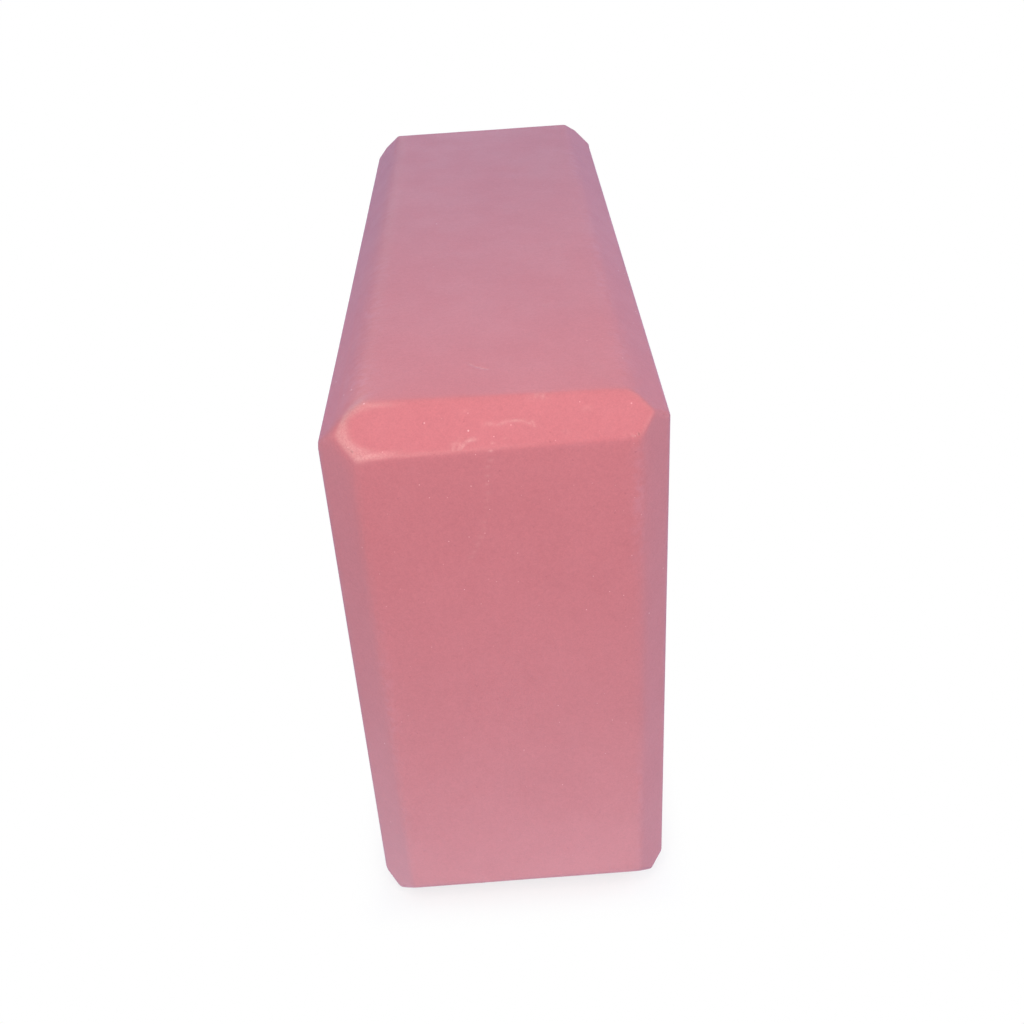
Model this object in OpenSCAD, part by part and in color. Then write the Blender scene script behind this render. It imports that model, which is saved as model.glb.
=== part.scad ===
// Foam exercise block with a bevel on every edge.
//
// One solid piece of closed-cell EVA foam, nominally 3 x 6 x 9 inches, standing on
// one of its two long narrow faces. +Z is up, +Y runs along the longest side and +X
// runs across the thickness. The origin is the centre of the face it stands on.

/* [Block] */
// Thickness, across the two large faces
block_thickness = 76; // [60:0.5:110]
// Length, along the longest side
block_length = 226; // [180:0.5:280]
// Height while standing on a long narrow face
block_height = 150; // [120:0.5:190]

/* [Edges] */
// Leg of the 45 degree bevel, the same on all twelve edges
bevel = 8; // [3:0.5:14]

/* [Colour] */
// Red share of the foam's colour
foam_red = 0.86; // [0:0.01:1]
// Green share of the foam's colour
foam_green = 0.53; // [0:0.01:1]
// Blue share of the foam's colour
foam_blue = 0.58; // [0:0.01:1]

/* [Hidden] */

foam_colour = [foam_red, foam_green, foam_blue];

// Rectangle about the origin, size = [x, y], each corner cut at 45 degrees by leg.
module bevelled_rectangle(size, leg) {
    x = size[0] / 2;
    y = size[1] / 2;
    polygon([
        [x - leg, -y], [x, -y + leg], [x, y - leg], [x - leg, y],
        [-x + leg, y], [-x, y - leg], [-x, -y + leg], [-x + leg, -y]
    ]);
}

// Bar with that section, centred on the origin, its length along Z.
module bevelled_bar(size, leg, length) {
    translate([0, 0, -length / 2])
        linear_extrude(height = length) bevelled_rectangle(size, leg);
}

// Box about the origin, size = [x, y, z], with all twelve edges bevelled.
// Each bar cuts the four edges that run along it, so at a corner the three bevels
// meet in one point, and each bevel is a long strip with pointed ends.
module bevelled_box(size, leg) {
    x = size[0];
    y = size[1];
    z = size[2];
    intersection() {
        bevelled_bar([x, y], leg, z);
        rotate([90, 0, 0]) bevelled_bar([x, z], leg, y);
        rotate([0, 90, 0]) bevelled_bar([z, y], leg, x);
    }
}

module foam_block() {
    color(foam_colour)
        translate([0, 0, block_height / 2])
            bevelled_box([block_thickness, block_length, block_height], bevel);
}

foam_block();
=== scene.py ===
"""Looks for the foam block: one closed mesh of bevelled, softly rounded EVA foam with its wear,
a procedural foam material, a pale floor, soft light and the camera. The block is longest along Y;
its front faces -Y, its left -X and its top +Z. Lengths are worked out in millimetres about the
block's centre, and turned into metres in the row frame at the end."""

import math

import bmesh
import bpy
import numpy as np
from mathutils import Matrix, Vector


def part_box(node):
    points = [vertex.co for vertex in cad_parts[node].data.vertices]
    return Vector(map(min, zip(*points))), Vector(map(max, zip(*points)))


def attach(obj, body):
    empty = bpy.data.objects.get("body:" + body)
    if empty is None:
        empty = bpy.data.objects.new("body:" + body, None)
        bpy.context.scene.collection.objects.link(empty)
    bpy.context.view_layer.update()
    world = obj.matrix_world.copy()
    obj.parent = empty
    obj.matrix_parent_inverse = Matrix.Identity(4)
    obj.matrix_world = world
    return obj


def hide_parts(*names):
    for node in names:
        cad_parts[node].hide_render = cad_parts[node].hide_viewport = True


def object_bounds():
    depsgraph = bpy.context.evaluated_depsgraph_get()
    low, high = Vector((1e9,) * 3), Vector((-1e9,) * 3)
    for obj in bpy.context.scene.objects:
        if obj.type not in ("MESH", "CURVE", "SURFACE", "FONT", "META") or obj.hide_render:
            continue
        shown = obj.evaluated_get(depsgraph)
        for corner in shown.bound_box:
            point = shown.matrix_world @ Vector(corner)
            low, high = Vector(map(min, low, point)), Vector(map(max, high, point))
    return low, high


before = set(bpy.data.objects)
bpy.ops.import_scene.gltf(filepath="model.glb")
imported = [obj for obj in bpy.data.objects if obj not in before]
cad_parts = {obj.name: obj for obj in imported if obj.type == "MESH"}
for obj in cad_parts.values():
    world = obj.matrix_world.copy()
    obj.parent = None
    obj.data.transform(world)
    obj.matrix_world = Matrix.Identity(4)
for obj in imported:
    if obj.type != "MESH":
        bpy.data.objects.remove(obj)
cad_lo, cad_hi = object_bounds()  # the CAD box, before anything is hidden

block_lo, block_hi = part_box("foam_block")
CENTRE = np.array((block_lo + block_hi) / 2)  # metres
HALF = np.array((block_hi - block_lo) / 2) * 1000  # millimetres
HALF_X, HALF_Y, HALF_Z = HALF
SEED = 20417


# ---------------------------------------------------------------- smooth functions
def smooth(value, low, high):
    """Smooth step from 0 at low to 1 at high; low may be the larger."""
    t = np.clip((value - low) / (high - low), 0.0, 1.0)
    return t * t * (3 - 2 * t)


def bell(t):
    return np.exp(-(t**2))


def waves(points, seed, longest, shortest, count):
    """Smooth seeded field of about unit spread: plane waves between two wavelengths, in mm."""
    rng = np.random.RandomState(seed)
    total = np.zeros(len(points))
    for _ in range(count):
        wavelength = math.exp(rng.uniform(math.log(shortest), math.log(longest)))
        direction = rng.normal(size=3)
        direction /= np.linalg.norm(direction)
        total += math.sqrt(wavelength / longest) * np.cos(
            points @ direction * (2 * math.pi / wavelength) + rng.uniform(0, 2 * math.pi)
        )
    return total / math.sqrt(count / 2)


# ---------------------------------------------------------------- the planes of the block
# Axis and side of each face.
FACES = {
    "left": (0, -1),
    "right": (0, 1),
    "front": (1, -1),
    "back": (1, 1),
    "bottom": (2, -1),
    "top": (2, 1),
}
# How far each bevel reaches in, in mm: on its first face at the low and high end of the edge, then
# on its second face. The bevels were cut by hand guidance, so no two are quite alike.
BEVELS = {
    "top front": ((8.4, 7.0), (9.6, 7.5)),
    "top left": ((8.4, 8.3), (9.4, 8.3)),
    "top right": ((8.6, 8.6), (7.3, 7.1)),
    "front left": ((8.3, 8.5), (7.9, 8.2)),
    "front right": ((6.9, 7.4), (7.8, 8.0)),
    "top back": ((9.5, 8.8), (9.9, 7.3)),
    "back left": ((7.9, 8.0), (7.8, 6.7)),
    "back right": ((8.2, 9.0), (8.8, 10.3)),
    "bottom front": ((7.0, 8.4), (6.9, 8.8)),
    "bottom back": ((7.8, 8.2), (7.7, 8.4)),
    "bottom left": ((5.3, 8.2), (6.8, 7.3)),
    "bottom right": ((8.2, 8.1), (7.6, 8.0)),
}
NEAR = "top front"  # the bevel that is crisper and more worn than the rest


def face_plane(name):
    axis, side = FACES[name]
    normal = np.zeros(3)
    normal[axis] = side
    return normal, HALF[axis]


def bevel_axes(name):
    """Axis and side of a bevel's two faces, and the axis it runs along."""
    first, second = (FACES[face] for face in name.split())
    return first, second, 3 - first[0] - second[0]


def bevel_plane(name):
    """Outward normal and offset of the plane that lies closest to a bevel's four corners."""
    (first, first_side), (second, second_side), along = bevel_axes(name)
    corners = []
    for end, on_first, on_second in zip((-1, 1), *BEVELS[name]):
        for inset_first, inset_second in ((0, on_first), (on_second, 0)):
            corner = np.zeros(3)
            corner[first] = first_side * (HALF[first] - inset_first)
            corner[second] = second_side * (HALF[second] - inset_second)
            corner[along] = end * HALF[along]
            corners.append(corner)
    corners = np.array(corners)
    middle = corners.mean(0)
    normal = np.linalg.svd(corners - middle)[2][2]
    outward = np.zeros(3)
    outward[first], outward[second] = first_side, second_side
    normal = normal if normal @ outward > 0 else -normal
    return normal, float(normal @ middle)


PLANES = {name: face_plane(name) for name in FACES}
PLANES.update({name: bevel_plane(name) for name in BEVELS})
KEYS = list(PLANES)
NORMALS = np.array([PLANES[key][0] for key in KEYS])
# Stands proud in X, in mm; rounding and ripple take this back, and the box trims the rest.
PROUD = np.array([0.2, 0.0, 0.0])
OFFSETS = np.array([PLANES[key][1] for key in KEYS]) + np.abs(NORMALS) @ PROUD


# ---------------------------------------------------------------- the graded box grid
FINE_STEP = 0.95  # mm between lines near the block's edges
FINE_ZONE = 11.5  # mm in from each end that keeps the fine step
STEP_GROWTH = 1.13
COARSEST_STEPS = (1.75, 3.0, 2.6)  # mm, along X, Y and Z


def grid_lines(half, coarsest):
    """Grid lines from -half to half: fine near each end, growing coarser between them."""
    steps, at, step = [], 0.0, FINE_STEP
    while at < half:
        if at >= FINE_ZONE:
            step = min(step * STEP_GROWTH, coarsest)
        steps.append(step)
        at += step
    inward = np.cumsum([0.0] + steps)
    inward *= half / inward[-1]
    return np.concatenate([inward - half, (half - inward)[::-1][1:]])


def box_grid(xs, ys, zs):
    """Closed surface grid of a box: corner positions and outward quads, corners shared."""
    nx, ny, nz = len(xs) - 1, len(ys) - 1, len(zs) - 1
    quads = []

    def ident(i, j, k):
        return (i * (ny + 1) + j) * (nz + 1) + k

    def add_side(rows, columns, ident_at, flip):
        i, j = np.meshgrid(np.arange(rows), np.arange(columns), indexing="ij")
        corners = [ident_at(i, j), ident_at(i + 1, j), ident_at(i + 1, j + 1), ident_at(i, j + 1)]
        side = np.stack(corners, -1).reshape(-1, 4)
        quads.append(side[:, ::-1] if flip else side)

    for k, flip in ((0, True), (nz, False)):
        add_side(nx, ny, lambda i, j: ident(i, j, k), flip)
    for j, flip in ((0, False), (ny, True)):
        add_side(nx, nz, lambda i, k: ident(i, j, k), flip)
    for i, flip in ((0, True), (nx, False)):
        add_side(ny, nz, lambda j, k: ident(i, j, k), flip)
    ids, quads = np.unique(np.concatenate(quads), return_inverse=True)
    i, rest = np.divmod(ids, (ny + 1) * (nz + 1))
    j, k = np.divmod(rest, nz + 1)
    return np.stack([xs[i], ys[j], zs[k]], -1), quads.reshape(-1, 4)


# ---------------------------------------------------------------- rounded edges
USUAL_RADIUS = 1.3
STEADY = (0, 0, 0)
# The two planes that meet, the radius in mm that their line is rounded to, and the share the radius
# gains from the middle to the +X, +Y and +Z ends. The long bevels run softly into the top and the
# front. The near bevel was cut last and is crisp, and its left end is rubbed round.
EDGE_RADII = [
    ("top", "top left", 7.6, (0, -0.38, 0)),
    ("top", "top right", 4.4, (0, -0.28, 0)),
    ("front", "front left", 3.3, (0, 0, 0.4)),
    ("front", "front right", 3.9, (0, 0, 0.3)),
    ("back", "back left", 2.6, STEADY),
    ("back", "back right", 2.8, STEADY),
    (NEAR, "top", 2.7, STEADY),
    (NEAR, "front", 1.5, STEADY),
    (NEAR, "top left", 7.0, STEADY),
    (NEAR, "front left", 6.0, STEADY),
    ("top left", "front left", 4.0, STEADY),
    (NEAR, "top right", 1.9, STEADY),
    (NEAR, "front right", 1.7, STEADY),
    ("top right", "front right", 2.4, STEADY),
    ("front left", "bottom left", 2.8, STEADY),
    ("left", "bottom left", 2.4, STEADY),
    ("bottom left", "bottom front", 2.6, STEADY),
]
RADII = np.full((len(KEYS), len(KEYS)), USUAL_RADIUS)
TRENDS = np.zeros((len(KEYS), len(KEYS), 3))
for one, other, edge_radius, trend in EDGE_RADII:
    i, j = KEYS.index(one), KEYS.index(other)
    RADII[i, j] = RADII[j, i] = edge_radius
    TRENDS[i, j] = TRENDS[j, i] = edge_radius * np.array(trend)
np.fill_diagonal(RADII, 0.0)

CORE_DEPTH = 10.5  # mm from the faces in to the core that the surface is measured from
SHARPNESS_TIMES_RADIUS = 6.8
FIRST_RADIUS = 3.0  # mm, before each point's own radius is known
BLEND_SHARPNESS = 1.1  # per mm; how softly the edges' radii blend


def smooth_maximum(points, sharpness):
    """Smooth maximum of the heights over all planes, and each plane's share in it."""
    scaled = (points @ NORMALS.T - OFFSETS) * np.reshape(sharpness, (-1, 1))
    largest = scaled.max(1, keepdims=True)
    weights = np.exp(scaled - largest)
    total = weights.sum(1, keepdims=True)
    return (largest[:, 0] + np.log(total[:, 0])) / sharpness, weights / total


def rounding_radius(points):
    """Rounding in mm at points of the block: each edge has its own, blended where they meet."""
    _, share = smooth_maximum(points, BLEND_SHARPNESS)
    mixed = 1 - (share**2).sum(1)
    trend = np.einsum("ni,ijk,nj->nk", share, TRENDS, share)
    radius = np.einsum("ni,ij,nj->n", share, RADII, share) + (trend * (points / HALF)).sum(1)
    radius = radius / np.maximum(mixed, 1e-9)
    radius = np.where(mixed > 1e-7, radius, USUAL_RADIUS)
    # The far end of the top was trimmed as crisply as the near bevel.
    y, z = points[:, 1], points[:, 2]
    radius *= 1 - 0.62 * smooth(y, HALF_Y - 30, HALF_Y - 9) * smooth(z, HALF_Z - 30, HALF_Z - 9)
    unevenness = 0.09 * waves(points, SEED + 1, longest=160, shortest=60, count=16)
    return np.clip(radius * (1 + unevenness), 0.8, 9.0)


def settle(box_points, rounds=16):
    """Moves points of the box onto the block, along rays that fan out from a smaller core box and
    so never cross: where planes meet, their smooth maximum rounds the edge.
    Returns the points, their outward normals and each plane's share at each point."""
    core = np.clip(box_points, CORE_DEPTH - HALF, HALF - CORE_DEPTH)
    ray = box_points - core
    reach = np.linalg.norm(ray, axis=1)
    ray /= reach[:, None]
    sharpness = np.full(len(box_points), SHARPNESS_TIMES_RADIUS / FIRST_RADIUS)
    for turn in range(rounds):
        points = core + reach[:, None] * ray
        if turn in (5, 10):
            sharpness = SHARPNESS_TIMES_RADIUS / rounding_radius(points)
        height, share = smooth_maximum(points, sharpness)
        gradient = share @ NORMALS
        reach = reach - height / (gradient * ray).sum(1)
    points = core + reach[:, None] * ray
    return points, gradient / np.linalg.norm(gradient, axis=1, keepdims=True), share


# ---------------------------------------------------------------- marks
FACE_RIGHT = {
    "front": (1, 0, 0),
    "back": (-1, 0, 0),
    "right": (0, 1, 0),
    "left": (0, -1, 0),
    "top": (1, 0, 0),
    "bottom": (1, 0, 0),
}


def place(where, u, v):
    """A point u mm right of and v mm down from the middle of a face or bevel, with its right, down
    and outward directions. A face is seen from outside. On a bevel, right is the + way along it."""
    normal, offset = PLANES[where]
    if where in BEVELS:
        (first, first_side), (second, second_side), axis = bevel_axes(where)
        along = np.zeros(3)
        along[axis] = 1
        right = along - (along @ normal) * normal
        right /= np.linalg.norm(right)
        down = np.cross(right, normal)
        # Down falls or lies level, except on the bottom front bevel, where it climbs.
        if down[2] > 0.01 or where == "bottom front":
            down = -down
        point = np.zeros(3)
        point[first] = first_side * (HALF[first] - 4)
        point[second] = second_side * (HALF[second] - 4)
    else:
        right = np.array(FACE_RIGHT[where], float)
        upright = abs(normal[2]) < 0.5
        down = np.array((0, 0, -1.0)) if upright else np.array((0, -1.0, 0)) * normal[2]
        point = normal * offset
    point = point - (point @ normal - offset) * normal
    return point + u * right + v * down, right, down, normal


class Mark:
    """One mark: where it is, its turn in degrees, how far it reaches in mm, and a function from
    local mm to height in mm, wear from 0 to 1 and dark from 0 to 1."""

    def __init__(self, where, u, v, angle, reach, shape):
        self.centre, right, down, self.normal = place(where, u, v)
        turn = math.radians(angle)
        self.x_axis = right * math.cos(turn) + down * math.sin(turn)
        self.y_axis = -right * math.sin(turn) + down * math.cos(turn)
        self.reach, self.shape = reach, shape

    def near(self, points, margin=0.0):
        away = points - self.centre
        within = np.linalg.norm(away, axis=1) < self.reach + margin
        return within & (np.abs(away @ self.normal) < 3.0)

    def at(self, points, normals):
        away = points - self.centre
        facing = smooth(normals @ self.normal, 0.45, 0.8)
        height, wear, dark = self.shape(away @ self.x_axis, away @ self.y_axis)
        return height * facing, wear * facing, dark * facing


def ragged(x, y, seed, fineness):
    """A cheap seeded field, about -1 to 1, that breaks a mark up."""
    rng = np.random.RandomState(seed)
    total = 0
    for _ in range(7):
        turn = rng.uniform(0, 2 * math.pi)
        scale = rng.uniform(0.8, 3.2) * fineness
        across = x * math.cos(turn) + y * math.sin(turn)
        total = total + np.cos(scale * across * 2 + rng.uniform(0, 6.28))
    return total / 3.2


def crescent(radius, half_angle, width, depth, wear, seed):
    """A nail-like arc, its middle upwards: a shallow broken groove whose skin has turned pale."""

    def shape(x, y):
        rise = radius - y
        off_arc = np.hypot(x, rise) - radius + 0.09 * ragged(x, y, seed, 0.6)
        angle = np.degrees(np.arctan2(x, rise))
        ends = smooth(half_angle - np.abs(angle), 0, half_angle * 0.3)
        broken = np.clip(0.72 + 0.45 * ragged(x, y, seed + 50, 0.8), 0.15, 1.25)
        groove = bell(off_arc / width) * ends * broken
        lip = bell((off_arc - 1.8 * width) / width) * ends
        return -depth * groove + 0.3 * depth * lip, wear * groove, 0

    return shape


def scuff(length, width, depth, wear, seed):
    """A rubbed patch whose surface is torn into grains."""

    def shape(x, y):
        body = bell(np.hypot(x / length, y / width) ** 1.3)
        rough = ragged(x, y, seed, 0.85)
        height = -depth * body * (0.4 + 0.9 * rough)
        return height, wear * body * np.clip(0.6 + 0.9 * rough, 0, 1.5), 0

    return shape


def nick(length, width, depth, dark):
    """A short cut with lifted sides."""

    def shape(x, y):
        cut = bell(x / length) * bell(y / width)
        side = bell(x / (1.2 * length)) * bell((np.abs(y) - 1.9 * width) / width)
        return -depth * cut + 0.22 * depth * side, 0.6 * side, dark * cut

    return shape


def dent(length, width, depth):
    """A soft press that the foam kept."""

    def shape(x, y):
        out = np.hypot(x / length, y / width)
        return -depth * bell(out) + 0.12 * depth * bell((out - 1.7) / 0.5), 0, 0

    return shape


def skipped(path, size, height, wear, pitch, seed):
    """A row of separate pecks along a path, as a blunt corner leaves when it skips down foam.
    They get fainter towards the end."""
    rng = np.random.RandomState(seed)
    path = np.array(path, float)
    lengths = np.hypot(*(path[1:] - path[:-1]).T)
    total = lengths.sum()
    pecks, at = [], 0.3
    while at < total:
        i = min(int(np.searchsorted(np.cumsum(lengths), at)), len(lengths) - 1)
        part = (at - lengths[:i].sum()) / lengths[i]
        centre = path[i] + (path[i + 1] - path[i]) * part + rng.normal(size=2) * (0.22, 0.1)
        fade = (1 - 0.6 * at / total) * (1 if len(pecks) < 2 else 0.42)
        pecks.append((*centre, size * rng.uniform(0.8, 1.25), fade * rng.uniform(0.55, 1.2)))
        at += pitch * rng.uniform(0.75, 1.3)

    def shape(x, y):
        best = 0 * x
        for centre_x, centre_y, radius, strength in pecks:
            out = np.hypot((x - centre_x) / (1.25 * radius), (y - centre_y) / radius)
            best = np.maximum(best, strength * bell(out**1.4))
        return height * best, wear * best, 0

    return shape


# Right and down from the middle of the front's row of pecks, in mm.
PECK_PATH = [
    (-0.3, -0.9), (-1.3, 3.6), (-1.9, 9.0), (-2.3, 15.5),
    (-2.9, 19.6), (-4.6, 23.4), (-7.0, 27.6), (-9.4, 33.2),
]
# Each row: right, down, turn in degrees, reach, shape. The shapes take, in mm but for the rest:
#   crescent: radius, half angle in degrees, width, depth, wear, seed
#   scuff: length, width, depth, wear, seed
#   nick: length, width, depth, dark
#   dent: length, width, depth
PLACED_MARKS = {
    NEAR: [
        (4.7, 0.15, 3, 7.0, crescent(7.2, 33, 0.34, 0.12, 0.62, 21)),
        (8.5, 1.1, 68, 2.5, crescent(1.3, 40, 0.3, 0.1, 0.6, 22)),
        (1.2, 0.75, -18, 3.0, scuff(0.9, 0.32, 0.05, 0.45, 4)),
        (-0.6, 1.0, 20, 3.2, scuff(1.0, 0.85, 0.07, 0.62, 3)),
        (-5.9, 4.2, -34, 5.0, crescent(3.1, 54, 0.38, 0.14, 0.86, 27)),
        (-8.0, 4.9, -50, 4.0, scuff(1.5, 1.0, 0.08, 0.6, 5)),
        (2.6, 3.9, 0, 1.5, scuff(0.35, 0.22, 0.02, 0.8, 6)),
        (14.9, 3.6, 0, 2.5, scuff(0.8, 0.6, 0.06, 0.35, 7)),
        (10.2, -4.9, 0, 4.0, scuff(2.1, 0.9, 0.05, 0.26, 9)),
        (-6.0, -2.6, 30, 3.0, scuff(0.9, 0.7, 0.05, 0.14, 10)),
        (20.0, -1.4, -20, 3.0, scuff(1.2, 0.7, 0.05, 0.14, 12)),
        (30.3, 4.8, 78, 2.0, nick(0.3, 0.12, 0.3, 0.7)),
        (29.2, 4.9, 8, 3.0, scuff(1.7, 0.5, 0.05, 0.34, 11)),
        (-29.9, 4.6, 38, 2.0, nick(0.32, 0.13, 0.28, 0.55)),
        (-30.6, 4.0, 0, 2.0, nick(0.2, 0.12, 0.2, 0.4)),
    ],
    "top": [
        (-3.1, 90.6, 222, 6.5, crescent(6.4, 33, 0.34, 0.13, 0.42, 31)),
        (14.0, 58.0, -25, 5.0, scuff(2.2, 0.6, 0.03, 0.12, 13)),
        (-12.0, 20.0, 60, 4.0, crescent(5.0, 24, 0.32, 0.09, 0.16, 35)),
        (8.0, -52.0, 0, 10.0, dent(6.0, 4.0, 0.06)),
    ],
    "front": [
        (0.0, -66.9, 0, 40.0,
         skipped(PECK_PATH, size=0.3, height=0.04, wear=0.8, pitch=1.8, seed=8)),
        (13.0, 22.0, 15, 11.0, dent(6.0, 8.0, 0.05)),
        (-14.0, 46.0, 0, 9.0, dent(5.0, 5.0, 0.05)),
    ],
}
# Seeded marks on a face: the half extents they fall within, right and down in mm, and how many.
SCATTERED = {"left": (96, 58, 9), "right": (96, 58, 9), "back": (25, 58, 4), "bottom": (25, 96, 4)}
UNSCATTERED_BEVELS = (NEAR, "top left", "top right", "front left", "front right")


def random_seed(rng):
    return int(rng.randint(1e6))


def face_shape(rng):
    """Reach and shape of a seeded mark on a face."""
    draw = rng.uniform
    kind = rng.choice(["crescent", "crescent", "scuff", "dent", "nick"])
    if kind == "crescent":
        return 7.0, crescent(
            radius=draw(4, 7),
            half_angle=draw(22, 38),
            width=draw(0.33, 0.42),
            depth=draw(0.1, 0.2),
            wear=draw(0.35, 0.6),
            seed=random_seed(rng),
        )
    if kind == "scuff":
        return 6.0, scuff(
            length=draw(1.2, 3.2),
            width=draw(0.7, 1.3),
            depth=0.1,
            wear=draw(0.3, 0.55),
            seed=random_seed(rng),
        )
    if kind == "dent":
        return 11.0, dent(length=draw(4, 7), width=draw(3, 5), depth=draw(0.14, 0.3))
    return 4.0, nick(
        length=draw(0.8, 1.5), width=draw(0.3, 0.38), depth=draw(0.22, 0.34), dark=0.4
    )


def bevel_shape(rng):
    """Reach and shape of a seeded mark on a bevel."""
    draw = rng.uniform
    if rng.rand() < 0.5:
        return 5.0, scuff(
            length=draw(1.2, 2.6),
            width=draw(0.5, 0.9),
            depth=0.1,
            wear=draw(0.25, 0.5),
            seed=random_seed(rng),
        )
    return 4.0, nick(
        length=draw(0.7, 1.4), width=draw(0.28, 0.36), depth=draw(0.18, 0.3), dark=0.38
    )


def scattered_marks():
    """Seeded marks on faces and bevels that have no placed ones."""
    rng = np.random.RandomState(SEED + 7)
    draw = rng.uniform
    marks = []
    for where, (half_u, half_v, count) in SCATTERED.items():
        for _ in range(count):
            spot = draw(-half_u, half_u), draw(-half_v, half_v), draw(0, 180)
            marks.append(Mark(where, *spot, *face_shape(rng)))
    for where in BEVELS:
        if where in UNSCATTERED_BEVELS:
            continue
        half_length = HALF[bevel_axes(where)[2]]
        for _ in range(int(round(half_length / 40))):
            spot = draw(-1, 1) * (half_length - 16), draw(-4.4, 4.4), draw(-35, 35)
            marks.append(Mark(where, *spot, *bevel_shape(rng)))
    return marks


MARKS = [Mark(where, *row) for where, rows in PLACED_MARKS.items() for row in rows]
MARKS += scattered_marks()


# ---------------------------------------------------------------- the block's mesh
LEAST_AREAS = (0.25, 0.16, 0.07)  # mm2; smaller quads aren't halved, at each level
# How deep each face sinks in its middle, in mm.
SINK = {"left": 0.35, "right": 0.35, "front": 0.16, "back": 0.16, "top": 0.16}


def needs_halving(level, middles, areas):
    """Which quads hold shape too fine for their size."""
    points, normals, _ = settle(middles, 10)
    x, y, z = points.T
    near_normal, near_offset = PLANES[NEAR]
    over_near = points @ near_normal - near_offset
    wanted = np.zeros(len(middles), bool)
    if level == 0:
        wanted |= (over_near > -0.7) & (areas > 0.3)
        wanted |= (y > HALF_Y - 12) & (z > HALF_Z - 12)
    elif level == 1:
        wanted |= (over_near > -0.5) & (x < -HALF_X + 22)
    for mark in MARKS:
        touched = mark.near(points, 0.5 if level == 0 else 0.0)
        if level > 0:
            height, wear, dark = mark.at(points, normals)
        if level == 1:
            touched &= (np.abs(height) > 0.012) | (wear > 0.04) | (dark > 0.04)
        elif level == 2:
            front_or_top = normals[:, 1] - normals[:, 2] < -0.5
            touched &= (front_or_top & (wear > 0.12)) | (dark > 0.03)
        wanted |= touched
    return wanted & (areas > LEAST_AREAS[level])


def refined_grid():
    """The box grid, halved up to three times where there is fine shape to hold."""
    corners, quads = box_grid(*(grid_lines(*pair) for pair in zip(HALF, COARSEST_STEPS)))
    bm = bmesh.new()
    for corner in corners:
        bm.verts.new(corner)
    bm.verts.ensure_lookup_table()
    for quad in quads:
        bm.faces.new([bm.verts[i] for i in quad])
    for level in range(len(LEAST_AREAS)):
        bm.faces.ensure_lookup_table()
        middles = np.array([face.calc_center_median() for face in bm.faces])
        areas = np.array([face.calc_area() for face in bm.faces])
        wanted = needs_halving(level, middles, areas)
        faces = [bm.faces[i] for i in np.nonzero(wanted)[0]]
        edges = list({edge for face in faces for edge in face.edges})
        bmesh.ops.subdivide_edges(bm, edges=edges, cuts=1, use_grid_fill=True)
        bmesh.ops.triangulate(bm, faces=[face for face in bm.faces if len(face.verts) > 4])
    bm.verts.ensure_lookup_table()
    return bm


def moulding_depth(points, share, edge):
    """Moulded foam isn't flat: the wide faces sink a little, and every face waves slightly."""
    flat = (share[:, : len(FACES)] ** 2).sum(1)
    sink = np.zeros(len(points))
    for name, depth in SINK.items():
        across = [axis for axis in range(3) if axis != FACES[name][0]]
        bowl = np.prod(
            [np.cos(np.clip(points[:, k] / HALF[k], -1, 1) * math.pi / 2) for k in across],
            axis=0,
        )
        sink += share[:, KEYS.index(name)] * depth * bowl
    long_waves = waves(points, SEED + 2, longest=90, shortest=28, count=30)
    short_waves = waves(points, SEED + 3, longest=12, shortest=5, count=30)
    ripple = 0.02 * (1 + long_waves / 2.2) + 0.008 * (1 + short_waves / 2.2)
    handled = 0.02 * edge * (1 + waves(points, SEED + 4, longest=26, shortest=7, count=30))
    return np.clip(sink + ripple * (0.4 + 0.6 * flat) + np.clip(handled, 0, 0.4), 0, None)


def all_marks(points, normals):
    """Height, wear and dark of every mark together."""
    height, wear, dark = (np.zeros(len(points)) for _ in range(3))
    for mark in MARKS:
        pick = np.nonzero(mark.near(points))[0]
        if len(pick):
            mark_height, mark_wear, mark_dark = mark.at(points[pick], normals[pick])
            height[pick] += mark_height
            wear[pick] = np.maximum(wear[pick], mark_wear)
            dark[pick] = np.maximum(dark[pick], mark_dark)
    return height, wear, dark


def rubbed_rim(points, normals):
    """The near bevel's rim is rubbed pale: a broad soft band round its left end, and thin along
    its edges."""
    x, _, z = points.T
    below_top = z - HALF_Z
    over_planes = points @ NORMALS.T - OFFSETS

    def inside(key, angle):
        """How far in on the bevel a point is, in mm, from the line shared with another plane."""
        return -over_planes[:, KEYS.index(key)] / math.sin(math.radians(angle))

    # At the upper left the rub runs on round the edge.
    over = smooth(below_top, -5.0, -2.5) * smooth(-x, 20, 28)
    on_bevel = smooth(normals @ PLANES[NEAR][0] + 0.15 * over, 0.74, 0.95)
    top_edge, front_edge = inside("top", 45), inside("front", 45)
    right_end = np.minimum(inside("top right", 60), inside("front right", 60))
    left_parts = [top_edge, front_edge, inside("top left", 60) + 0.75 * over]
    left_parts.append(inside("front left", 60))
    round_to = 1.7  # the band's inner side runs round the corners
    inside_left = -round_to * np.log(
        sum(np.exp(-np.clip(part, -3, 30) / round_to) for part in left_parts)
    )
    along = x + HALF_X - 8.0  # mm from the left end's corners, to the right
    off_centre = inside_left - 0.7
    band_width = np.where(off_centre > 0, 0.62, 1.25)
    band = bell(np.clip(np.abs(off_centre) - 0.3, 0, None) / band_width)
    low = smooth(below_top, -2.0, -7.5)
    high = smooth(below_top, -4.5, -1.0)
    corner = smooth(-along, -14.5, -1.5) * smooth(inside_left, -1.5, 0.1)
    rubs = [
        band * (0.50 + 0.12 * low - 0.05 * high) * smooth(-along, -7.0, -1.0),
        0.86 * corner * bell((front_edge - 0.72) / 0.66),
        0.26 * smooth(-along, -56, -6) * bell((front_edge - 0.4) / 0.4),
        0.44 * smooth(-along, -13.5, -3) * bell((top_edge - 0.9) / 0.6),
        0.24 * bell((right_end + 0.1) / 0.7) * (0.7 + 0.6 * low),
    ]
    return np.max(rubs, axis=0) * on_bevel


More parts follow.
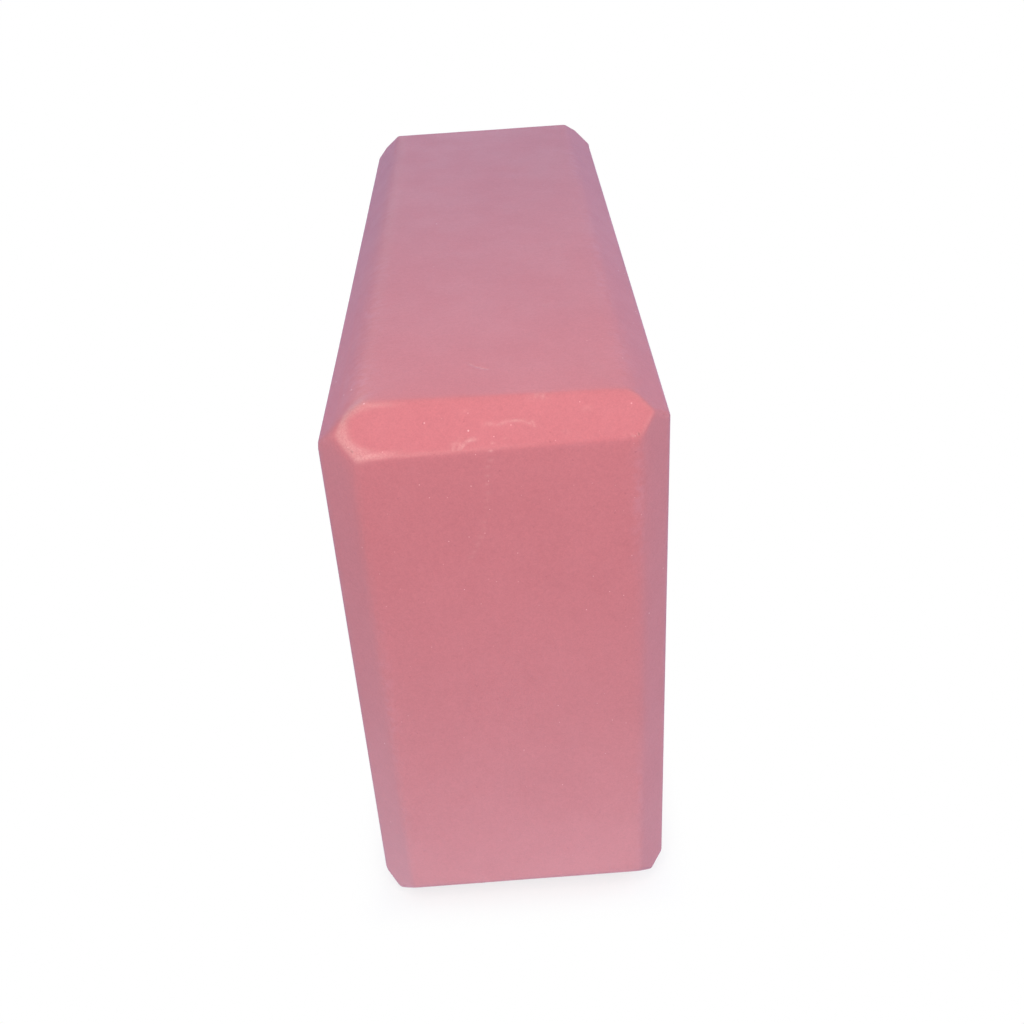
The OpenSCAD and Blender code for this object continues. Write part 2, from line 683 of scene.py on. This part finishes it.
def tints(points, share, edge):
    """Where the colour varies: dust on the edges with a painted sheen, bright specks, a painted pale
    glow of floor light towards the base, and painted warm key light on the top and its long bevels.
    """
    _, y, z = points.T
    part = {key: share[:, KEYS.index(key)] for key in KEYS}
    # How thickly the bright specks lie: most on the front's upper part, hardly any on the top.
    dust = 0.38 + 0.72 * part["front"] * smooth(z, 5, 37) - 0.35 * part["top"] + 0.06 * part[NEAR]
    dust -= 0.25 * (
        part["front left"] + part["front right"] + part["top left"] + part["top right"]
    )
    # Painted warm key light: the top and its long bevels are warmer towards the front, where the key
    # light falls.
    key_light_warmth = 0.33 * part["top"] * smooth(-y, 60, 100)
    key_light_warmth += (part["top left"] + part["top right"]) * smooth(-y, -15, 98)
    patchy = 0.6 + 0.5 * waves(points, SEED + 6, longest=60, shortest=12, count=24)
    return {
        "edge": np.clip(edge * patchy, 0, 1) * smooth(-part[NEAR], -0.25, 0),
        "dust": np.clip(dust, 0, 1),
        # The painted floor glow is weaker on the front right bevel.
        "floor_glow_share": 1 - 0.55 * part["front right"],
        "key_light_warmth": key_light_warmth,
    }


def build_block():
    bm = refined_grid()
    points, normals, share = settle(np.array([vert.co for vert in bm.verts]))
    edge = np.clip(1 - (share**2).sum(1), 0, 0.6) / 0.6
    points = points - normals * moulding_depth(points, share, edge)[:, None]
    height, wear, dark = all_marks(points, normals)
    rim = rubbed_rim(points, normals)
    height -= 0.03 * rim * (1 + waves(points, SEED + 5, longest=3, shortest=1.2, count=40))
    points = np.clip(points + normals * height[:, None], -HALF, HALF)

    for vert, place_m in zip(bm.verts, points / 1000 + CENTRE):
        vert.co = place_m
    bm.normal_update()
    mesh = bpy.data.meshes.new("foam_block_body")
    bm.to_mesh(mesh)
    bm.free()
    fields = {"wear": np.clip(wear, 0, 1), "rim": rim, "dark": np.clip(dark, 0, 1)}
    fields.update(tints(points, share, edge))
    for name, values in fields.items():
        attribute = mesh.attributes.new(name, "FLOAT", "POINT")
        attribute.data.foreach_set("value", values.astype(np.float32))
    mesh.polygons.foreach_set("use_smooth", np.ones(len(mesh.polygons), bool))
    mesh.update()
    block = bpy.data.objects.new("foam_block_body", mesh)
    bpy.context.scene.collection.objects.link(block)
    return block


# ---------------------------------------------------------------- shader nodes
class Nodes:
    """Short ways to add nodes to one material or world, which it empties first."""

    def __init__(self, owner):
        owner.use_nodes = True
        self.tree = owner.node_tree
        self.tree.nodes.clear()

    def add(self, kind, inputs=None, **settings):
        """A node, with its inputs given as values or as sockets to link from."""
        node = self.tree.nodes.new(kind)
        for name, value in settings.items():
            setattr(node, name, value)
        for key, value in (inputs or {}).items():
            if isinstance(value, bpy.types.NodeSocket):
                self.tree.links.new(value, node.inputs[key])
            else:
                node.inputs[key].default_value = value
        return node

    def math(self, operation, *values, clamp=False):
        inputs = dict(enumerate(values))
        return self.add("ShaderNodeMath", inputs, operation=operation, use_clamp=clamp).outputs[0]

    def plus(self, first, second, clamp=False):
        return self.math("ADD", first, second, clamp=clamp)

    def minus(self, first, second, clamp=False):
        return self.math("SUBTRACT", first, second, clamp=clamp)

    def times(self, first, second, clamp=False):
        return self.math("MULTIPLY", first, second, clamp=clamp)

    def weighted_sum(self, *terms):
        """Sum of (value, weight) pairs."""
        total = self.times(*terms[0])
        for term in terms[1:]:
            total = self.plus(total, self.times(*term))
        return total

    def vector(self, operation, *vectors, output="Vector"):
        inputs = dict(enumerate(vectors))
        return self.add("ShaderNodeVectorMath", inputs, operation=operation).outputs[output]

    def ramp(self, value, over, to=(0.0, 1.0)):
        """Smooth step between the two values of to, while value goes over a range."""
        inputs = dict(enumerate((value, *over, *to)))
        node = self.add("ShaderNodeMapRange", inputs, interpolation_type="SMOOTHSTEP")
        return node.outputs[0]

    def noise(self, where, scale, detail, roughness, offset=0.0):
        if offset:
            where = self.vector("ADD", where, (offset, offset * 0.7, -offset * 1.3))
        inputs = {"Vector": where, "Scale": scale, "Detail": detail, "Roughness": roughness}
        return self.add("ShaderNodeTexNoise", inputs, noise_dimensions="3D").outputs["Fac"]

    def cells(self, where, scale):
        inputs = {"Vector": where, "Scale": scale, "Randomness": 1.0}
        return self.add("ShaderNodeTexVoronoi", inputs, voronoi_dimensions="3D", feature="F1")

    def spots(self, where, scale, least, sizes, offset):
        """Scattered round spots: cells over the least random value, sized between two radii."""
        cell = self.cells(self.vector("ADD", where, (offset, -offset, offset * 0.5)), scale)
        split = self.add("ShaderNodeSeparateColor", {0: cell.outputs["Color"]})
        picked = self.math("GREATER_THAN", split.outputs[0], least)
        size = self.ramp(split.outputs[1], over=(0.0, 1.0), to=[s * scale for s in sizes])
        within = self.minus(1.0, self.math("DIVIDE", cell.outputs["Distance"], size), clamp=True)
        return self.times(self.ramp(within, over=(0.0, 0.5)), picked)

    def mix(self, factor, first, second, blend="MIX"):
        inputs = {0: factor, 6: first, 7: second}
        settings = {"data_type": "RGBA", "blend_type": blend, "clamp_factor": True}
        return self.add("ShaderNodeMix", inputs, **settings).outputs[2]

    def attribute(self, name):
        return self.add("ShaderNodeAttribute", attribute_name=name).outputs["Fac"]

    def coordinates(self, kind):
        return self.add("ShaderNodeTexCoord").outputs[kind]

    def camera_ray(self):
        return self.add("ShaderNodeLightPath").outputs["Is Camera Ray"]


# ---------------------------------------------------------------- the foam material
DEEP_PINK = (0.534, 0.151, 0.1675, 1)
PALE_PINK = (0.566, 0.163, 0.1805, 1)
KEY_LIGHT_WARMTH = (1.0, 0.925, 0.905, 1)
SPECK = (0.84, 0.44, 0.45, 1)
PORE = (0.40, 0.10, 0.12, 1)
TORN_SKIN = (0.665, 0.295, 0.285, 1)
EDGE_DUST_AND_SHEEN = (0.66, 0.34, 0.45, 1)
DARK_CUT = (0.25, 0.06, 0.07, 1)
PAINTED_FLOOR_GLOW = (0.139, 0.103, 0.118, 1)
BLACK, WHITE = (0, 0, 0, 1), (1, 1, 1, 1)
PAINTED_SHEEN_TINT = (0.785, 1.064, 1, 1)
FLOOR_GLOW_TOP = 130.0  # mm in the row frame's Z, where the painted floor glow ends


def foam_material():
    material = bpy.data.materials.new("eva_foam_pink")
    nodes = Nodes(material)
    scaled = {0: nodes.coordinates("Object"), "Scale": 1000.0}
    at = nodes.add("ShaderNodeVectorMath", scaled, operation="SCALE").outputs[0]  # mm

    # Cloudy colour at three scales, as pigment and pressure leave in foam.
    broad = nodes.noise(at, scale=0.018, detail=2.0, roughness=0.5)
    middle = nodes.noise(at, scale=0.11, detail=3.0, roughness=0.55, offset=31)
    small = nodes.noise(at, scale=0.75, detail=3.0, roughness=0.6, offset=57)
    cloud = nodes.weighted_sum((broad, 0.40), (middle, 0.28), (small, 0.32))
    colour = nodes.mix(nodes.ramp(cloud, over=(0.34, 0.66)), DEEP_PINK, PALE_PINK)

    # The skin's cells, about a third of a millimetre, seen as fine grain.
    rim, wear, edge, dark = (nodes.attribute(name) for name in ("rim", "wear", "edge", "dark"))
    grain = nodes.noise(at, scale=3.4, detail=2.0, roughness=0.65, offset=11)
    coarse_grain = nodes.noise(at, scale=1.45, detail=2.0, roughness=0.55, offset=71)
    cell = nodes.cells(at, scale=2.7).outputs["Distance"]
    grain_light = nodes.weighted_sum(
        (nodes.minus(grain, 0.5), 0.14),
        (nodes.minus(cell, 0.36), -0.09),
        (nodes.minus(coarse_grain, 0.5), 0.12),
    )
    grained = {"Value": nodes.plus(1.0, grain_light), "Color": colour}
    colour = nodes.add("ShaderNodeHueSaturation", grained).outputs[0]
    # Painted warm key light on the top and its long bevels, stronger towards the front.
    colour = nodes.mix(nodes.attribute("key_light_warmth"), colour, KEY_LIGHT_WARMTH, "MULTIPLY")

    # Tiny bright specks, thicker in some patches, and fewer dark open pores.
    patch_noise = nodes.noise(at, scale=0.035, detail=2.0, roughness=0.5, offset=83)
    patch = nodes.ramp(patch_noise, over=(0.42, 0.62))
    rarity = nodes.math("MULTIPLY_ADD", nodes.attribute("dust"), -0.52, 1.0)
    specks = nodes.times(
        nodes.spots(at, scale=0.55, least=rarity, sizes=(0.14, 0.29), offset=5),
        nodes.ramp(patch, over=(0, 1), to=(0.35, 1.0)),
    )
    pores = nodes.spots(at, scale=0.45, least=0.80, sizes=(0.12, 0.26), offset=19)
    colour = nodes.mix(nodes.times(specks, 0.85), colour, SPECK)
    colour = nodes.mix(nodes.times(pores, 0.30), colour, PORE)

    # Wear: the rubbed skin shows paler, drier foam in grains; edges carry a little dust, and their
    # pale bluish tint is partly a painted sheen.
    crumbs = nodes.noise(at, scale=3.0, detail=1.5, roughness=0.6, offset=7)
    torn = nodes.math("MAXIMUM", rim, wear)
    grains = nodes.ramp(crumbs, over=(0.36, 0.64), to=(0.72, 1.24))
    bitten = nodes.times(torn, grains, clamp=True)
    colour = nodes.mix(nodes.times(bitten, 0.95), colour, TORN_SKIN)
    dust_and_sheen_noise = nodes.noise(at, scale=0.5, detail=3.0, roughness=0.65, offset=3)
    dust_and_sheen = nodes.times(edge, nodes.ramp(dust_and_sheen_noise, over=(0.35, 0.7)))
    # Painted sheen mixed with dust: rounded edges tinted pale and bluish.
    colour = nodes.mix(nodes.times(dust_and_sheen, 0.13), colour, EDGE_DUST_AND_SHEEN)
    colour = nodes.mix(nodes.times(dark, 0.75), colour, DARK_CUT)

    # Painted light: a pale glow of light thrown up from the floor, added to the colour and thickening
    # towards the base.
    height = nodes.add("ShaderNodeSeparateXYZ", {0: at}).outputs["Z"]
    low = nodes.minus(1.0, nodes.math("DIVIDE", height, FLOOR_GLOW_TOP), clamp=True)
    low = nodes.times(low, low)
    floor_glow_noise = nodes.noise(at, scale=0.05, detail=3.0, roughness=0.6, offset=91)
    low = nodes.times(low, nodes.ramp(floor_glow_noise, over=(0.25, 0.75), to=(0.92, 1.08)))
    low = nodes.times(low, nodes.attribute("floor_glow_share"))
    colour = nodes.mix(1.0, colour, nodes.mix(low, BLACK, PAINTED_FLOOR_GLOW), "ADD")

    # Painted sheen: the red dulls and turns bluish when seen at a slant, as under a haze of the
    # room's cool light.
    slant = nodes.add("ShaderNodeLayerWeight", {"Blend": 0.5}).outputs["Facing"]
    colour = nodes.mix(1.0, colour, nodes.mix(slant, WHITE, PAINTED_SHEEN_TINT), "MULTIPLY")

    # Dry and matt, with slightly smoother patches where hands press.
    press_noise = nodes.noise(at, scale=0.06, detail=3.0, roughness=0.6, offset=43)
    rough = nodes.ramp(press_noise, over=(0.3, 0.7), to=(0.57, 0.67))
    rough = nodes.plus(rough, nodes.times(nodes.minus(grain, 0.5), 0.22))
    rough = nodes.plus(rough, nodes.times(bitten, 0.18), clamp=True)

    # Relief in mm: closed cells, a dry fine grain, pores and crumbs.
    fine_grain = nodes.noise(at, scale=6.5, detail=2.0, roughness=0.6, offset=23)
    relief = nodes.weighted_sum(
        (nodes.minus(0.5, cell), 0.030),
        (fine_grain, 0.022),
        (small, 0.05),
        (pores, -0.10),
        (specks, 0.03),
        (nodes.times(bitten, crumbs), 0.10),
    )
    bump_inputs = {"Strength": 0.8, "Distance": 0.001, "Height": relief}
    foam = nodes.add("ShaderNodeBsdfPrincipled", {
        "Base Color": colour,
        "Roughness": rough,
        "IOR": 1.49,
        "Specular IOR Level": 0.196,
        "Sheen Weight": 0.154,
        "Sheen Roughness": 0.45,
        "Sheen Tint": (0.435, 0.31, 1.0, 1),
        "Subsurface Weight": 0.12,
        "Subsurface Radius": (1.0, 0.42, 0.38),
        "Subsurface Scale": 0.0016,
        "Normal": nodes.add("ShaderNodeBump", bump_inputs).outputs[0],
    })
    nodes.add("ShaderNodeOutputMaterial", {0: foam.outputs[0]})
    return material


body = build_block()
body.data.materials.append(foam_material())
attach(body, "root")
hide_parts("foam_block")


# ---------------------------------------------------------------- floor
FLOOR_HALF = 30.0  # metres


def floor_material():
    """Pale matt floor. The camera sees it fade to the backdrop's white away from the block."""
    material = bpy.data.materials.new("pale_floor")
    nodes = Nodes(material)
    at = nodes.coordinates("Object")
    cloud = nodes.noise(at, scale=9.0, detail=4.0, roughness=0.6)
    shade = nodes.ramp(cloud, over=(0.3, 0.7), to=(0.86, 0.885))
    grey = nodes.add("ShaderNodeCombineColor", {0: shade, 1: shade, 2: shade}).outputs[0]
    matt_inputs = {"Base Color": grey, "Roughness": 0.9, "Specular IOR Level": 0.1}
    matt = nodes.add("ShaderNodeBsdfPrincipled", matt_inputs)
    glow = nodes.add("ShaderNodeEmission", {"Color": WHITE, "Strength": 1.0})
    footprint = (HALF_X / 1000, HALF_Y / 1000, 0)
    beyond = nodes.vector("SUBTRACT", nodes.vector("ABSOLUTE", at), footprint)
    outside = nodes.vector("MAXIMUM", beyond)
    away = nodes.vector("LENGTH", outside, output="Value")
    far = nodes.ramp(away, over=(-0.020, 0.010))
    blend = {
        0: nodes.times(far, nodes.camera_ray()),
        1: matt.outputs[0],
        2: glow.outputs[0],
    }
    shader = nodes.add("ShaderNodeMixShader", blend).outputs[0]
    nodes.add("ShaderNodeOutputMaterial", {0: shader})
    return material


floor_mesh = bpy.data.meshes.new("floor")
floor_corners = [(x * FLOOR_HALF, y * FLOOR_HALF, 0) for x, y in ((-1, -1), (1, -1), (1, 1), (-1, 1))]
floor_mesh.from_pydata(floor_corners, [], [(0, 1, 2, 3)])
floor = bpy.data.objects.new("floor", floor_mesh)
floor.location = (0, 0, cad_lo.z)
bpy.context.scene.collection.objects.link(floor)
floor_mesh.materials.append(floor_material())


# ---------------------------------------------------------------- lights and world
WARM, COOL = (1.14, 1.0, 0.86), (0.86, 1.0, 1.14)
# name, place, aim, size (metres), power (watts), colour
LIGHTS = [
    ("key", (0.0, -0.30, 0.38), (0, -0.1, 0.12), 0.20, 0.329, WARM),
    ("key_high", (0.0, -0.20, 0.40), (0, -0.05, 0.12), 0.20, 0.138, WARM),
    ("key_left", (-0.22, -0.42, 0.50), (0, 0, 0.08), 0.30, 0.383, WARM),
    ("left", (-1.1, 0.0, 0.6), (0, 0, 0.08), 0.9, 1.0, COOL),
    ("right", (1.1, 0.0, 0.6), (0, 0, 0.08), 0.9, 3.92, COOL),
    ("back", (0.0, 1.2, 0.8), (0, 0, 0.08), 0.9, 2.674, COOL),
]
# The room: an even glow, with a little more from each side near the horizon (direction, amount).
GLOW = 0.40
SIDES = [
    ((0, -1, 0.25), 0.726),
    ((0, 1, 0.25), 0.40),
    ((-1, 0, 0.25), 0.318),
    ((1, 0, 0.25), 0.30),
]


def add_light(name, location, aim, size, power, colour):
    data = bpy.data.lights.new(name, "AREA")
    data.shape = "DISK"
    data.size = size
    data.energy = power
    data.color = colour
    lamp = bpy.data.objects.new(name, data)
    lamp.location = location
    towards = Vector(aim) - Vector(location)
    lamp.rotation_euler = towards.to_track_quat("-Z", "Y").to_euler()
    lamp.visible_camera = False
    bpy.context.scene.collection.objects.link(lamp)


def add_world():
    """The room's light, seen by the camera as plain white."""
    world = bpy.data.worlds.new("studio")
    bpy.context.scene.world = world
    nodes = Nodes(world)
    strength = GLOW
    for direction, amount in SIDES:
        side = Vector(direction).normalized()
        towards = nodes.vector("DOT_PRODUCT", nodes.coordinates("Generated"), side, output="Value")
        lobe = nodes.math("POWER", nodes.math("MAXIMUM", towards, 0.0), 2.0)
        strength = nodes.plus(strength, nodes.times(lobe, amount))
    light = nodes.add("ShaderNodeBackground", {0: (*COOL, 1), 1: strength})
    light.name = "light"
    seen = nodes.add("ShaderNodeBackground", {0: WHITE})
    blend = {0: nodes.camera_ray(), 1: light.outputs[0], 2: seen.outputs[0]}
    shader = nodes.add("ShaderNodeMixShader", blend).outputs[0]
    nodes.add("ShaderNodeOutputWorld", {0: shader})


for light_row in LIGHTS:
    add_light(*light_row)
add_world()


# ---------------------------------------------------------------- camera
CAMERA_PLACE = (0.00382, cad_lo.y - 0.21502, cad_lo.z + 0.26348)
CAMERA_RIGHT = (0.99809, -0.03014, -0.05389)
CAMERA_BACK = (0.00371, -0.84188, 0.53964)  # from the block towards the camera


def add_camera():
    data = bpy.data.cameras.new("camera")
    camera = bpy.data.objects.new("camera", data)
    bpy.context.scene.collection.objects.link(camera)
    data.sensor_width = 36.0
    data.lens = 41.61
    data.clip_start, data.clip_end = 0.01, 100.0
    back = Vector(CAMERA_BACK).normalized()
    up = back.cross(Vector(CAMERA_RIGHT).normalized()).normalized()
    turn = Matrix((up.cross(back), up, back)).transposed().to_4x4()
    camera.matrix_world = Matrix.Translation(CAMERA_PLACE) @ turn
    bpy.context.scene.camera = camera


add_camera()
bpy.context.scene.view_settings.view_transform = "Standard"

bpy.context.view_layer.update()
